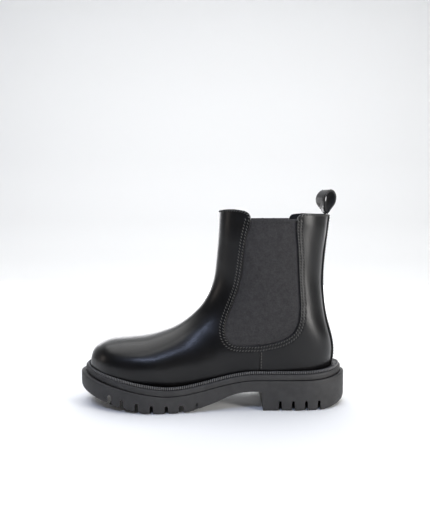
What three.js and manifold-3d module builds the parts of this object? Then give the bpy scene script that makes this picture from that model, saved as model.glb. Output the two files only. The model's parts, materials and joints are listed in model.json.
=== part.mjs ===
// Chelsea boot for the left foot, on a lugged rubber sole, about women's EU 38.
// Millimetres, +Z up. The toe points to -X, the heel to +X, and the outer (lateral) side is -Y.
// The origin is at the middle of the tread, on the ground.
import * as THREE from 'three';
import Module from 'manifold-3d';
import { mergeVertices } from 'three/addons/utils/BufferGeometryUtils.js';

const wasm = await Module();
wasm.setup();

// ---------- driving dimensions ----------

const soleLength = 280;
const ballWidth = 102;
const shaftRise = 171.9;        // front of the collar above the midsole's top edge

const toeThickness = 17.2;      // outsole at the ball, ground to groove
const heelLift = 13.7;          // how much thicker the outsole is at the heel
const toeLift = 16.8;           // how far the sole line climbs to the toe
const toeSpring = 17;           // how far the tread itself rises off the ground at the toe
const heelTipLift = 4.2;
const midsoleThickness = 5.8;
const midsoleStep = 0.3;        // shadow gap between outsole and midsole
const weltHeight = 3.2;
const weltSetback = 1.2;        // welt's outer face behind the midsole's
const toeRim = 5;               // outsole's overhang beyond the midsole at the toe
const heelRim = 3.6;
const waistRim = 0.8;

const slotDepth = 8.4;
const slotWidth = 2.9;
const wideSlotWidth = 4.9;      // the slot nearest the waist
const toeSlotTurn = 0.16;
const heelSlotWidth = 2.8;
const heelSlotDepth = 10.4;
const treadGroove = 4;
const archHeight = 20;

const leather = 1.6;
const middleLayer = 1.1;        // gores, stiffeners and interlining
const liningThickness = 1;
const clearance = 0.3;          // between any two pieces
const goreUnderlap = 7;
const goreTapeWidth = 3;
const goreTapeThickness = 0.6;
const backstayWidth = 19;
const backstayThickness = 1.2;

const boardThickness = 2.2;
const footbedThickness = 4.7;
const sockThickness = 1;
const pocketInset = 13;
const shankWidth = 16;
const shankThickness = 1.4;
const fillerThickness = 2;

const threadThickness = 0.9;
const rowSpacing = 3.4;         // between the two stitch rows round a gore
const rowInset = 1.5;           // first row from the leather's edge

const tabWidth = 20;
const tabStrap = 2.2;
const tabFoot = 3.7;            // radius of the loop's rolled foot

// ---------- grading ----------
// Outlines are drafted on the sample size and graded: x by sole length, y by ball width,
// and heights above the ankle by the shaft's rise.

const sample = { length: 280, width: 102, rise: 170.7, ankle: 70 };
const gradeX = soleLength / sample.length;
const gradeY = ballWidth / sample.width;

function smooth(from, to, x) {
  const s = Math.min(1, Math.max(0, (x - from) / (to - from)));
  return s * s * (3 - 2 * s);
}

// The line where outsole and midsole meet, seen from the side.
function grooveLine(x) {
  const s = x / gradeX;
  const toe = Math.max(0, (-45 - s) / 95);
  const heel = Math.max(0, (s - 95) / 45);
  return toeThickness + heelLift * smooth(-42, 45, s) + toeLift * toe ** 1.3 + heelTipLift * heel ** 2;
}

function soleLine(x) {
  return grooveLine(x) + midsoleStep + midsoleThickness;
}

function lift(up) {
  if (up <= sample.ankle) {
    return up;
  }
  return sample.ankle + (up - sample.ankle) * (shaftRise - sample.ankle) / (sample.rise - sample.ankle);
}

// A drafted point, as its place along the boot and its height above the sole line.
function place([along, up]) {
  const x = along * gradeX;
  return new THREE.Vector2(x, soleLine(x) + lift(up));
}

// ---------- solids ----------

function solidOf(geometry) {
  const bare = geometry.clone();
  bare.deleteAttribute('normal');
  bare.deleteAttribute('uv');
  const merged = mergeVertices(bare, 1e-4);
  return new wasm.Manifold(new wasm.Mesh({
    numProp: 3,
    vertProperties: new Float32Array(merged.attributes.position.array),
    triVerts: new Uint32Array(merged.index.array),
  }));
}

function geometryOf(solid) {
  const mesh = solid.getMesh();
  const geometry = new THREE.BufferGeometry();
  geometry.setAttribute('position', new THREE.BufferAttribute(mesh.vertProperties.slice(), 3));
  geometry.setIndex(new THREE.BufferAttribute(mesh.triVerts.slice(), 1));
  geometry.computeVertexNormals();
  return geometry;
}

// A prism with an outline seen from the side, running across the boot from yLow to yHigh.
function across(outline, yLow, yHigh) {
  const geometry = new THREE.ExtrudeGeometry(new THREE.Shape(outline), { depth: yHigh - yLow, bevelEnabled: false });
  geometry.rotateX(Math.PI / 2);
  geometry.translate(0, yHigh, 0);
  return solidOf(geometry);
}

// A prism with an outline seen from above.
function upright(outline, zLow, zHigh) {
  const geometry = new THREE.ExtrudeGeometry(new THREE.Shape(outline), { depth: zHigh - zLow, bevelEnabled: false });
  geometry.translate(0, 0, zLow);
  return solidOf(geometry);
}

function rectangle(x0, x1, y0, y1) {
  return [[x0, y0], [x1, y0], [x1, y1], [x0, y1]].map(([x, y]) => new THREE.Vector2(x, y));
}

const reach = soleLength;       // beyond every surface of the boot
const lateral = [-reach, -clearance / 2];
const medial = [clearance / 2, reach];
const bothSides = [-reach, reach];

// The slice of space between two heights above a line of the sole.
function slice(line, low, high) {
  const stations = Array.from({ length: 41 }, (_, i) => soleLength * (i / 40 - 0.5) * 1.1);
  const bottom = stations.map((x) => new THREE.Vector2(x, line(x) + low));
  const top = stations.map((x) => new THREE.Vector2(x, line(x) + high)).reverse();
  return across([...bottom, ...top], ...bothSides);
}

// ---------- the last: the closed surface that the upper is pulled over ----------
// Each girth runs from its front end to its back end, both as [along, up], with its mid-line's
// shift across, its lateral and medial half-widths, and how full its front and back curves are.

const girths = [
  [[-130.2, 2], [-130.2, 2], 6.5, 0, 0, 2, 2],
  [[-128.7, 10.4], [-128.7, -7], 6.2, 11, 11, 2, 2.2],
  [[-124.9, 20.4], [-124.9, -12], 5.6, 20, 20, 2, 2.3],
  [[-112.3, 31.3], [-112.3, -14.5], 4, 33.5, 33.5, 2.1, 2.4],
  [[-95, 38], [-95, -15], 2.5, 41.5, 42, 2.1, 2.4],
  [[-72, 44.4], [-72, -15], 0.5, 45.8, 46, 2, 2.4],
  [[-47, 54.3], [-40, -16.6], -1.5, 43, 41.5, 1.9, 2.2],
  [[-27, 64.6], [-1, -24.4], -1.5, 37.8, 36, 1.85, 2],
  [[-11.5, 76.8], [53, -29.4], -1, 34.8, 33.6, 1.85, 1.95],
  [[-1.5, 91.2], [108, -21.7], -0.5, 35, 34.2, 1.9, 2.3],
  [[3.3, 108.6], [127.6, 15], 0, 36, 35.5, 2, 2.5],
  [[5, 127.2], [120.4, 52.2], 0, 36.5, 36.5, 2.1, 2.4],
  [[6.2, 146.5], [115.9, 93.5], 0, 37.5, 37.5, 2.2, 2.3],
  [[7, 161], [118.8, 133.2], 0, 38.3, 38.3, 2.2, 2.3],
  [[7.9, 178], [123.8, 174], 0, 39, 39, 2.2, 2.3],
];
const around = 20;
const rings = 22;

const frontCurve = new THREE.SplineCurve(girths.map((g) => place(g[0])));
const backCurve = new THREE.SplineCurve(girths.map((g) => place(g[1])));

const middleShift = 2;
const lateralWidth = 3;
const medialWidth = 4;
const frontFullness = 5;
const backFullness = 6;
const columnCurves = [middleShift, lateralWidth, medialWidth, frontFullness, backFullness]
  .map((column) => new THREE.SplineCurve(girths.map((g, i) => new THREE.Vector2(i, g[column]))));

function measure(column, t) {
  return columnCurves[column - middleShift].getPoint(t).y;
}

function lastPoint(ring, step) {
  const t = ring / rings;
  const front = frontCurve.getPoint(t);
  const back = backCurve.getPoint(t);
  const angle = step / around * 2 * Math.PI;
  const along = Math.cos(angle);
  const side = Math.sin(angle);
  const fullness = 2 / measure(along > 0 ? frontFullness : backFullness, t);
  const share = (1 - Math.sign(along) * Math.abs(along) ** fullness) / 2;
  const width = measure(side < 0 ? lateralWidth : medialWidth, t) * Math.abs(side) ** fullness;
  const y = (measure(middleShift, t) + Math.sign(side) * width) * gradeY;
  return new THREE.Vector3(front.x + (back.x - front.x) * share, y, front.y + (back.y - front.y) * share);
}

function lastNormal(ring, step) {
  if (ring === 0) {
    return new THREE.Vector3(-1, 0, 0);
  }
  const before = lastPoint(Math.max(0, ring - 1), step);
  const lengthwise = lastPoint(Math.min(rings, ring + 1), step).sub(before);
  const girthwise = lastPoint(ring, step + 1).sub(lastPoint(ring, step - 1));
  return lengthwise.cross(girthwise).normalize();
}

const skins = new Map();

// The last's surface moved in by a distance (out where it is negative), as a closed mesh.
function skinGeometry(inset) {
  if (skins.has(inset)) {
    return skins.get(inset);
  }
  const points = [lastPoint(0, 0).addScaledVector(lastNormal(0, 0), -inset)];
  for (let ring = 1; ring <= rings; ring += 1) {
    for (let step = 0; step < around; step += 1) {
      points.push(lastPoint(ring, step).addScaledVector(lastNormal(ring, step), -inset));
    }
  }
  const top = points.slice(-around);
  points.push(top.reduce((sum, p) => sum.add(p), new THREE.Vector3()).divideScalar(around));
  const index = [];
  const at = (ring, step) => 1 + (ring - 1) * around + step % around;
  for (let step = 0; step < around; step += 1) {
    index.push(0, at(1, step), at(1, step + 1));
    for (let ring = 1; ring < rings; ring += 1) {
      index.push(at(ring, step), at(ring + 1, step), at(ring + 1, step + 1));
      index.push(at(ring, step), at(ring + 1, step + 1), at(ring, step + 1));
    }
    index.push(at(rings, step), points.length - 1, at(rings, step + 1));
  }
  const geometry = new THREE.BufferGeometry().setFromPoints(points);
  geometry.setIndex(index);
  skins.set(inset, geometry);
  return geometry;
}

function skin(inset) {
  return solidOf(skinGeometry(inset));
}

function layer(outer, inner) {
  return skin(outer).subtract(skin(inner));
}

// The outermost point of a skin that a line from outside meets.
function meet(from, direction, inset) {
  const geometry = skinGeometry(inset);
  const ray = new THREE.Ray(from, direction);
  const corners = [new THREE.Vector3(), new THREE.Vector3(), new THREE.Vector3()];
  const { position } = geometry.attributes;
  let best = null;
  for (let i = 0; i < geometry.index.count; i += 3) {
    corners.forEach((corner, k) => corner.fromBufferAttribute(position, geometry.index.getX(i + k)));
    const hit = ray.intersectTriangle(...corners, false, new THREE.Vector3());
    if (hit && (best === null || hit.distanceTo(from) < best.distanceTo(from))) {
      best = hit;
    }
  }
  return best;
}

// The point of a skin at a place on the lateral (-1) or medial (1) side.
function onSkin(spot, side, inset) {
  return meet(new THREE.Vector3(spot.x, side * reach, spot.y), new THREE.Vector3(0, -side, 0), inset);
}

// ---------- pattern outlines, as drafted points ----------

const seamFoot = [48.4, 0];
const seamTop = [49, 29.5];
const goreFront = [[38.5, 156.3], [35, 142.1], [31, 115.5], [26.5, 89.1], [20, 72.2], [14, 57.3], [13.4, 44.4],
  [19, 34.6], [37, 29.5], seamTop];
const goreRear = [seamTop, [55.5, 30.6], [73.5, 35.6], [84.5, 44.1], [88.8, 55.6], [88.8, 87.6], [86.8, 123.6],
  [84.9, 145.6], [85.3, 156.1]];
const vampTop = [[7.7, 170.8], [28.6, 166.8], [36.8, 162], [38.5, 156.3]];
const quarterTop = [[85.3, 156.1], [87.6, 159.8], [92.7, 161.3], [123.7, 159.7]];

function curveThrough(drafted, points) {
  return new THREE.SplineCurve(drafted.map(place)).getSpacedPoints(points);
}

const frontEdge = curveThrough(goreFront, 18);
const rearEdge = curveThrough(goreRear, 16);
const goreEdge = [...frontEdge, ...rearEdge.slice(1)];

// Moves an open line sideways, to the left of its direction where the distance is positive.
function shifted(line, distance) {
  return line.map((point, i) => {
    const before = line[Math.max(0, i - 1)];
    const along = line[Math.min(line.length - 1, i + 1)].clone().sub(before).normalize();
    return new THREE.Vector2(point.x - along.y * distance, point.y + along.x * distance);
  });
}

const ground = -reach;
const sky = reach * 2;
const half = clearance / 2;
const vampTopline = curveThrough(vampTop, 10);
const quarterTopline = curveThrough(quarterTop, 8);

// The vamp's pattern: everything in front of the gore's front edge and the side seam.
function vampPattern(edgeShift) {
  const edge = shifted(frontEdge, -edgeShift);
  const seamX = place(seamFoot).x - half;
  return [new THREE.Vector2(-reach, ground), new THREE.Vector2(seamX, ground), ...edge.slice().reverse(),
    ...vampTopline.slice(0, -1).reverse(), new THREE.Vector2(-reach, vampTopline[0].y)];
}

// A quarter's pattern: everything behind the side seam and the gore's rear edge.
function quarterPattern(edgeShift) {
  const edge = shifted(rearEdge, -edgeShift);
  const seamX = place(seamFoot).x + half;
  edge[0].x = place(seamTop).x + half;
  return [new THREE.Vector2(seamX, ground), new THREE.Vector2(reach, ground),
    new THREE.Vector2(reach, quarterTopline.at(-1).y), ...quarterTopline.slice(1).reverse(), ...edge.slice().reverse()];
}

function gorePattern(grow) {
  const edge = shifted(goreEdge, -grow);
  const top = edge[0].clone();
  top.y = goreEdge[0].y;
  const end = edge.at(-1).clone();
  end.y = goreEdge.at(-1).y;
  return [top, ...edge.slice(1, -1).filter((p) => p.y < top.y), end];
}

// ---------- the sole's plan ----------

const planTip = [-140, 6];
const planHeel = [140, 0];
const planLateral = [[-137, -8], [-127.5, -23.5], [-110, -38], [-85, -48], [-58, -51], [-28, -47], [5, -41.5],
  [40, -38.8], [75, -38.6], [103, -37.3], [124, -29], [136, -15]];
const planMedial = [[-137, 20], [-127.5, 33], [-110, 45], [-85, 51], [-58, 48], [-28, 42], [5, 37], [40, 35.5],
  [75, 36.8], [103, 36.8], [124, 29], [136, 15]];
const stepsPerPoint = 2;

// The sole's outline from the toe tip along the lateral side to the heel and back, grown outwards.
function plan(growAt) {
  const drafted = [planTip, ...planLateral, planHeel, ...planMedial.slice().reverse()];
  const curve = new THREE.CatmullRomCurve3(
    drafted.map(([x, y]) => new THREE.Vector3(x * gradeX, y * gradeY, 0)), true, 'catmullrom',
  );
  const loop = curve.getPoints(drafted.length * stepsPerPoint).slice(0, -1);
  return loop.map((point, i) => {
    const before = loop[(i + loop.length - 1) % loop.length];
    const along = loop[(i + 1) % loop.length].clone().sub(before).normalize();
    const grow = growAt(point.x);
    return new THREE.Vector2(point.x + along.y * grow, point.y - along.x * grow);
  });
}

// A solid from outlines stacked upwards; each level has its plan and its height along the boot.
function stack(levels) {
  const count = levels[0].outline.length;
  const points = levels.flatMap(({ outline, height }) => outline.map((p) => new THREE.Vector3(p.x, p.y, height(p.x))));
  const index = [];
  for (let level = 0; level < levels.length - 1; level += 1) {
    for (let i = 0; i < count; i += 1) {
      const [a, b] = [level * count + i, level * count + (i + 1) % count];
      index.push(a, b, b + count, a, b + count, a + count);
    }
  }
  const top = (levels.length - 1) * count;
  for (let i = 0; i < count / 2; i += 1) {
    const [a, b, c, d] = [i, i + 1, count - i - 1, (count - i) % count];
    if (a !== d) {
      index.push(a, d, c, top + a, top + c, top + d);
    }
    if (b !== c) {
      index.push(a, c, b, top + a, top + b, top + c);
    }
  }
  const geometry = new THREE.BufferGeometry().setFromPoints(points);
  geometry.setIndex(index);
  return solidOf(geometry);
}

function rimAt(x) {
  const rim = x < 0 ? toeRim : heelRim;
  return waistRim + (rim - waistRim) * Math.min(1, Math.abs(x / soleLength * 2) ** 2.5);
}

function treadLine(x) {
  const toe = Math.max(0, (-56 - x / gradeX) / 84);
  return toeSpring * toe ** 1.5;
}

// ---------- sole pieces ----------

const pocket = plan(() => -pocketInset);
const pocketFill = plan(() => -pocketInset - clearance);
const heelFrom = 62 * gradeX;
const heelFloor = 12;

function outsole() {
  const body = stack([
    { outline: plan(() => -3), height: treadLine },
    { outline: plan(() => -1), height: (x) => treadLine(x) + 1.2 },
    { outline: plan(() => 0), height: (x) => treadLine(x) + 4.5 },
    { outline: plan(() => 0), height: (x) => grooveLine(x) - 3 },
    { outline: plan((x) => 0.6 - rimAt(x)), height: grooveLine },
  ]);
  const arch = [[-46, -1], [-38, 0.2], [-24, 1.5], [-16, 3.4], [-8, 6], [3, 9.8], [12, 13.6], [20, 16.8], [29, 19],
    [38, archHeight], [51.2, archHeight], [53, -1]].map(([x, z]) => new THREE.Vector2(x * gradeX, z));
  const core = upright(pocket, heelFloor, reach).intersect(across(rectangle(heelFrom, reach, 0, reach), ...bothSides));
  return treadCuts().reduce((solid, cut) => solid.subtract(cut), body.subtract(across(arch, ...bothSides)).subtract(core));
}

// One slot in from the edge of the tread, flared at its mouth, turned slightly as the lugs are.
function lugSlot(spot, y0, y1, width, depth, turn, base) {
  const profile = [[-width * 0.8, -2], [width * 0.8, -2], [width / 2, 2], [width / 2, depth], [-width / 2, depth],
    [-width / 2, 2]].map(([x, z]) => new THREE.Vector2(x, z));
  const geometry = new THREE.ExtrudeGeometry(new THREE.Shape(profile), { depth: y1 - y0, bevelEnabled: false });
  geometry.rotateX(Math.PI / 2);
  geometry.translate(0, y1, 0);
  geometry.rotateZ(turn);
  geometry.translate(spot, 0, base);
  return solidOf(geometry);
}

function treadCuts() {
  const cuts = [];
  const deep = ballWidth;
  const toeSlot = -110.3;
  const pitch = 15;
  const slots = 6;
  const toeSlotAt = toeSlot * gradeX;
  cuts.push(lugSlot(toeSlotAt, -deep, deep, slotWidth, slotDepth, toeSlotTurn, treadLine(toeSlotAt)));
  for (let i = 1; i < slots; i += 1) {
    const x = (toeSlot + i * pitch) * gradeX;
    const width = i === slots - 1 ? wideSlotWidth : slotWidth;
    cuts.push(lugSlot(x, -deep, -20, width, slotDepth, 0.1, treadLine(x)));
    cuts.push(lugSlot(x, 20, deep, width, slotDepth, -0.1, treadLine(x)));
  }
  for (let i = 0; i < 4; i += 1) {
    const x = (69.5 + i * 13.3) * gradeX;
    cuts.push(lugSlot(x, -deep, -16, heelSlotWidth, heelSlotDepth, 0, 0));
    cuts.push(lugSlot(x, 16, deep, heelSlotWidth, heelSlotDepth, 0, 0));
  }
  for (const side of [-1, 1]) {
    cuts.push(across(rectangle(-97 * gradeX, -24 * gradeX, -2, treadGroove), side * 18 - 2, side * 18 + 2));
    cuts.push(across(rectangle(58 * gradeX, 118 * gradeX, -2, treadGroove), side * 14 - 1.5, side * 14 + 1.5));
  }
  for (let i = 0; i < 5; i += 1) {
    const x = (toeSlot + (i + 0.5) * pitch) * gradeX;
    const low = treadLine(x) - 2;
    cuts.push(across(rectangle(x - 1.6, x + 1.6, low, low + 2 + treadGroove), -16.5, 16.5));
  }
  return cuts;
}

function heelCore() {
  const room = upright(pocketFill, heelFloor + clearance, reach);
  const back = across(rectangle(heelFrom + clearance, reach, 0, reach), ...bothSides);
  return room.intersect(back).intersect(slice(grooveLine, -reach, -clearance));
}

function midsole() {
  const body = stack([
    { outline: plan((x) => -rimAt(x) - 0.6), height: (x) => grooveLine(x) + midsoleStep },
    { outline: plan((x) => -rimAt(x)), height: (x) => grooveLine(x) + midsoleStep + 0.8 },
    { outline: plan((x) => -rimAt(x)), height: (x) => soleLine(x) - 1 },
    { outline: plan((x) => -rimAt(x) - 0.8), height: soleLine },
  ]);
  const fill = upright(pocket, -reach, reach).intersect(fillerSpan(0)).intersect(slice(soleLine, -fillerThickness - clearance, 9));
  return body.subtract(fill).subtract(shankSpan(0).intersect(slice(soleLine, -shankThickness - clearance, 9)));
}

function fillerSpan(gap) {
  return across(rectangle(-116 * gradeX + gap, -24 * gradeX - gap, -reach, reach), ...bothSides);
}

function shankSpan(gap) {
  const side = shankWidth / 2 + clearance - gap;
  return upright(rectangle(-14 * gradeX + gap, 80 * gradeX - gap, -side, side), -reach, reach);
}

function fillerPiece() {
  return upright(pocketFill, -reach, reach).intersect(fillerSpan(clearance)).intersect(slice(soleLine, -fillerThickness, 0));
}

function shankPiece() {
  return shankSpan(clearance).intersect(slice(soleLine, -shankThickness, 0));
}

function welt() {
  const outline = (extra) => plan((x) => -rimAt(x) - weltSetback - extra);
  const body = stack([
    { outline: outline(0), height: (x) => soleLine(x) + clearance },
    { outline: outline(0), height: (x) => soleLine(x) + weltHeight - 0.8 },
    { outline: outline(0.8), height: (x) => soleLine(x) + weltHeight },
  ]);
  return body.subtract(skin(-clearance));
}

// ---------- layers of the upper, from the outside in ----------

const middleOuter = leather + clearance;
const middleInner = middleOuter + middleLayer;
const liningOuter = middleInner + clearance;
const liningInner = liningOuter + liningThickness;
const aboveSole = slice(soleLine, clearance, reach * 2);

const leatherLayer = layer(0, leather).intersect(aboveSole);
const middle = layer(middleOuter, middleInner).intersect(aboveSole);
const lining = layer(liningOuter, liningInner).intersect(aboveSole);

const toePuffEdge = -92;
const puffRegion = (gap) => across(rectangle(-reach, toePuffEdge * gradeX + gap, ground, sky), ...bothSides);
const counterEdge = [[68, -30], [68, 18], [90, 28], [104, 48], [140, 54]];

function counterRegion(gap, front) {
  const line = counterEdge.map(([x, up]) => place([x, up]));
  if (front) {
    line[0].x = 40 * gradeX;
    line[1].x = 40 * gradeX;
  }
  return across([...line.map((p) => new THREE.Vector2(p.x - gap, p.y + gap)), new THREE.Vector2(reach, line[4].y + gap),
    new THREE.Vector2(reach, line[0].y)], ...bothSides);
}

function goreBand(side) {
  return across(gorePattern(goreUnderlap), ...side);
}

function liningPiece(pattern, side) {
  return lining.intersect(across(pattern, ...side));
}

function interlining(pattern, side, stiffener) {
  const piece = middle.intersect(across(pattern, ...side));
  return piece.subtract(across(gorePattern(goreUnderlap + clearance), ...bothSides)).subtract(stiffener);
}

function goreTape(side) {
  const strip = across(gorePattern(-clearance), ...side);
  const band = across(rectangle(0, reach, goreEdge[0].y - goreTapeWidth, goreEdge[0].y), ...bothSides);
  const outer = middleOuter - clearance - goreTapeThickness;
  return layer(outer, outer + goreTapeThickness).intersect(strip).intersect(band);
}

function backstay() {
  const strip = layer(-clearance - backstayThickness, -clearance);
  const low = slice(soleLine, weltHeight + clearance, reach * 2);
  const top = quarterTopline.at(-1).y;
  const span = upright(rectangle(100 * gradeX, reach, -backstayWidth / 2, backstayWidth / 2), 0, top);
  return strip.intersect(low).intersect(span);
}

// ---------- stitching: one continuous thread along each row ----------

function thread(points, closed) {
  const path = new THREE.CatmullRomCurve3(points, closed);
  const r = threadThickness / 2;
  const ring = Array.from({ length: 4 }, (_, i) => {
    const angle = i / 4 * 2 * Math.PI;
    return new THREE.Vector2(r * Math.cos(angle), r * Math.sin(angle));
  });
  return new THREE.ExtrudeGeometry(new THREE.Shape(ring), {
    steps: points.length, extrudePath: path, bevelEnabled: false,
  });
}

const threadSlack = 0.45;       // a straight run of thread stays this far off the curved leather
const threadRest = -clearance - threadThickness / 2 - threadSlack;

function rowOnSkin(line, side) {
  return line.map((spot) => onSkin(spot, side, threadRest));
}

// Two rows round the gore that meet at its top corners, as one unbroken run of thread.
function goreRows(side) {
  const trimmed = goreEdge.slice(1, -1);
  const near = shifted(trimmed, -rowInset);
  const far = shifted(trimmed, -rowInset - rowSpacing).reverse();
  return thread(rowOnSkin([...near, ...far], side), true);
}

function toplineRow(line, side) {
  return thread(rowOnSkin(shifted(line, -3), side), false);
}

// Along the vamp's top edge, from the lateral gore round the shin to the medial one.
function frontToplineRow() {
  const drop = 3;
  const shin = 18;
  const run = vampTopline.slice(3, -2).map((p) => new THREE.Vector2(p.x, p.y - drop));
  const front = Array.from({ length: 7 }, (_, i) => meet(
    new THREE.Vector3(-reach, (i / 3 - 1) * shin * gradeY, vampTopline[0].y - drop), new THREE.Vector3(1, 0, 0), threadRest,
  ));
  return thread([...rowOnSkin(run, -1).reverse(), ...front, ...rowOnSkin(run, 1)], false);
}

function seamRow(side) {
  const foot = place([seamFoot[0] + 2.6, weltHeight + 1]);
  const top = place([seamTop[0] + 2.6, seamTop[1] - rowInset * 2 - rowSpacing]);
  const line = Array.from({ length: 5 }, (_, i) => foot.clone().lerp(top, i / 4));
  return thread(rowOnSkin(line, side), false);
}

function backstayRow(side) {
  const y = side * (backstayWidth / 2 + 1.6);
  const low = weltHeight + 3;
  const high = quarterTop.at(-1)[1] - 3;
  const longestRun = 6;
  const rows = Math.ceil((lift(high) - lift(low)) / longestRun);
  const points = Array.from({ length: rows + 1 }, (_, i) => {
    const up = THREE.MathUtils.lerp(low, high, i / rows);
    return meet(new THREE.Vector3(reach, y, place([120, up]).y), new THREE.Vector3(-1, 0, 0), threadRest);
  });
  return thread(points, false);
}

// ---------- the pull tab: a strap folded into a loop above the back of the collar ----------

const collarBack = place(quarterTop.at(-1));
const tabPivot = new THREE.Vector2(collarBack.x - 4, collarBack.y + clearance * 2 + tabFoot);
const tabLine = [[0, -tabFoot + tabStrap / 2], [-2.8, 0.2], [-6.6, 7.6], [-6.2, 15], [0.6, 20.4], [6.2, 16.6], [6.2, 9],
  [2.9, 1.2]];

function pullTab() {
  const middleLine = new THREE.CatmullRomCurve3(tabLine.map(([x, z]) => new THREE.Vector3(x, z, 0)), true);
  const loop = middleLine.getSpacedPoints(32).slice(0, -1).map((p) => new THREE.Vector2(p.x, p.y));
  const offset = (distance) => loop.map((point, i) => {
    const before = loop[(i + loop.length - 1) % loop.length];
    const along = loop[(i + 1) % loop.length].clone().sub(before).normalize();
    return new THREE.Vector2(point.x - along.y * distance, point.y + along.x * distance).add(tabPivot);
  });
  const outer = across(offset(tabStrap / 2), -tabWidth / 2, tabWidth / 2);
  return outer.subtract(across(offset(-tabStrap / 2), -tabWidth, tabWidth));
}

// ---------- assembly ----------

const finishes = {
  rubber: { color: 0x1d1d1f, roughness: 0.75, metalness: 0 },
  leather: { color: 0x121112, roughness: 0.3, metalness: 0 },
  elastic: { color: 0x2a2a2c, roughness: 0.9, metalness: 0 },
  lining: { color: 0x2b2724, roughness: 0.85, metalness: 0 },
  board: { color: 0x8a6f4f, roughness: 0.9, metalness: 0 },
  foam: { color: 0x3a3a3c, roughness: 0.95, metalness: 0 },
  steel: { color: 0xa8aaac, roughness: 0.4, metalness: 1 },
  thread: { color: 0x161616, roughness: 0.7, metalness: 0 },
};

const boot = new THREE.Group();

function add(name, shape, finish) {
  const geometry = shape.isBufferGeometry ? shape : geometryOf(shape);
  const mesh = new THREE.Mesh(geometry, new THREE.MeshStandardMaterial(finishes[finish]));
  mesh.name = name;
  boot.add(mesh);
}

add('outsole', outsole(), 'rubber');
add('heel_core', heelCore(), 'foam');
add('midsole', midsole(), 'rubber');
add('forepart_filler', fillerPiece(), 'board');
add('shank', shankPiece(), 'steel');
add('welt', welt(), 'rubber');

const insideLining = skin(liningInner + clearance);
const boardTop = clearance + boardThickness;
const footbedTop = boardTop + clearance + footbedThickness;
add('insole_board', insideLining.intersect(slice(soleLine, clearance, boardTop)), 'board');
add('footbed', insideLining.intersect(slice(soleLine, boardTop + clearance, footbedTop)), 'foam');
add('sock_lining', insideLining.intersect(slice(soleLine, footbedTop + clearance,
  footbedTop + clearance + sockThickness)), 'lining');

add('vamp', leatherLayer.intersect(across(vampPattern(0), ...bothSides)), 'leather');
add('toe_puff', middle.intersect(puffRegion(0)), 'board');
add('vamp_interlining', interlining(vampPattern(0), bothSides, puffRegion(clearance)), 'lining');
add('vamp_lining', liningPiece(vampPattern(0), bothSides), 'lining');
add('heel_counter', middle.intersect(counterRegion(0, false)), 'board');

for (const [name, range, side] of [['lateral', lateral, -1], ['medial', medial, 1]]) {
  add(`quarter_${name}`, leatherLayer.intersect(across(quarterPattern(0), ...range)), 'leather');
  add(`quarter_interlining_${name}`, interlining(quarterPattern(0), range, counterRegion(clearance, true)), 'lining');
  add(`quarter_lining_${name}`, liningPiece(quarterPattern(0), range), 'lining');
  add(`gore_${name}`, middle.intersect(goreBand(range)), 'elastic');
  add(`gore_tape_${name}`, goreTape(range), 'elastic');
  add(`gore_thread_${name}`, goreRows(side), 'thread');
  add(`side_seam_thread_${name}`, seamRow(side), 'thread');
  add(`topline_thread_${name}`, toplineRow(quarterTopline.slice(2, -1), side), 'thread');
  add(`backstay_thread_${name}`, backstayRow(side), 'thread');
}

add('topline_thread_front', frontToplineRow(), 'thread');
add('backstay', backstay(), 'leather');
add('pull_tab', pullTab(), 'leather');

export default boot;
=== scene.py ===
import json
import math

import bpy
import numpy as np
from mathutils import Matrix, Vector
from mathutils.kdtree import KDTree


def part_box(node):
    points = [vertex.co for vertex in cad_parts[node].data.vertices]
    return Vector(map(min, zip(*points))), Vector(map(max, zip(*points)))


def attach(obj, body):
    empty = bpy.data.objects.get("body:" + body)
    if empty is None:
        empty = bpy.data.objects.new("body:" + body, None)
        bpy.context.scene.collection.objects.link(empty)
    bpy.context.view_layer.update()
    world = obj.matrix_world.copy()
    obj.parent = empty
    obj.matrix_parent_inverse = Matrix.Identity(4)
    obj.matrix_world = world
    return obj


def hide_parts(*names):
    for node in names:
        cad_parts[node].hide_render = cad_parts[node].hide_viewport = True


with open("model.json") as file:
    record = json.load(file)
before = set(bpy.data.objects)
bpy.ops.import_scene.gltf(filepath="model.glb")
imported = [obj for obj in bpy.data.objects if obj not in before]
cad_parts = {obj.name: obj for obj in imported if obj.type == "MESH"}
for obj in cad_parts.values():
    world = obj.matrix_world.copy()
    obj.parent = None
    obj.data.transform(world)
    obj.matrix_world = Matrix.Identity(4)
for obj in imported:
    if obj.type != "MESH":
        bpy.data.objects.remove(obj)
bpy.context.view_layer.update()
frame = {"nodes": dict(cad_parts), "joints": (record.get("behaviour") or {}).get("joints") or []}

# ---- Outsole -------------------------------------------------------------------------------------------
# The tread: one moulding of matt black rubber with the heel block in one with it, cut by lug slots that
# flare at the ground, and scooped out under the waist. Its rim overhangs at the toe and the heel.

MM = 0.001
sole_low, sole_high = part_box("outsole")
grade_x = (sole_high.x - sole_low.x) / 0.280
grade_y = (sole_high.y - sole_low.y) / 0.102


def smooth(low, high, x):
    """0 below low, 1 above high, with an even ramp between."""
    s = np.clip((x - low) / (high - low), 0, 1)
    return s * s * (3 - 2 * s)


TOE_THICKNESS, HEEL_LIFT, TOE_LIFT, HEEL_TIP_LIFT = 17.2, 13.7, 16.8, 4.2


def groove_line(x):
    """Height, in mm, at which outsole and midsole meet at a place along the boot."""
    s = x / grade_x
    toe = np.clip((-45 - s) / 95, 0, None)
    heel = np.clip((s - 95) / 45, 0, None)
    return TOE_THICKNESS + HEEL_LIFT * smooth(-42, 45, s) + TOE_LIFT * toe ** 1.3 + HEEL_TIP_LIFT * heel ** 2


MIDSOLE, TREAD_SPRING = 6.1, 17


def sole_line(x):
    """Height of the midsole's top, where the upper stands."""
    return groove_line(x) + MIDSOLE


def tread_line(x):
    """Height of the tread's underside, which springs up towards the toe."""
    return TREAD_SPRING * np.clip((-56 - x / grade_x) / 84, 0, None) ** 1.5


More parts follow.
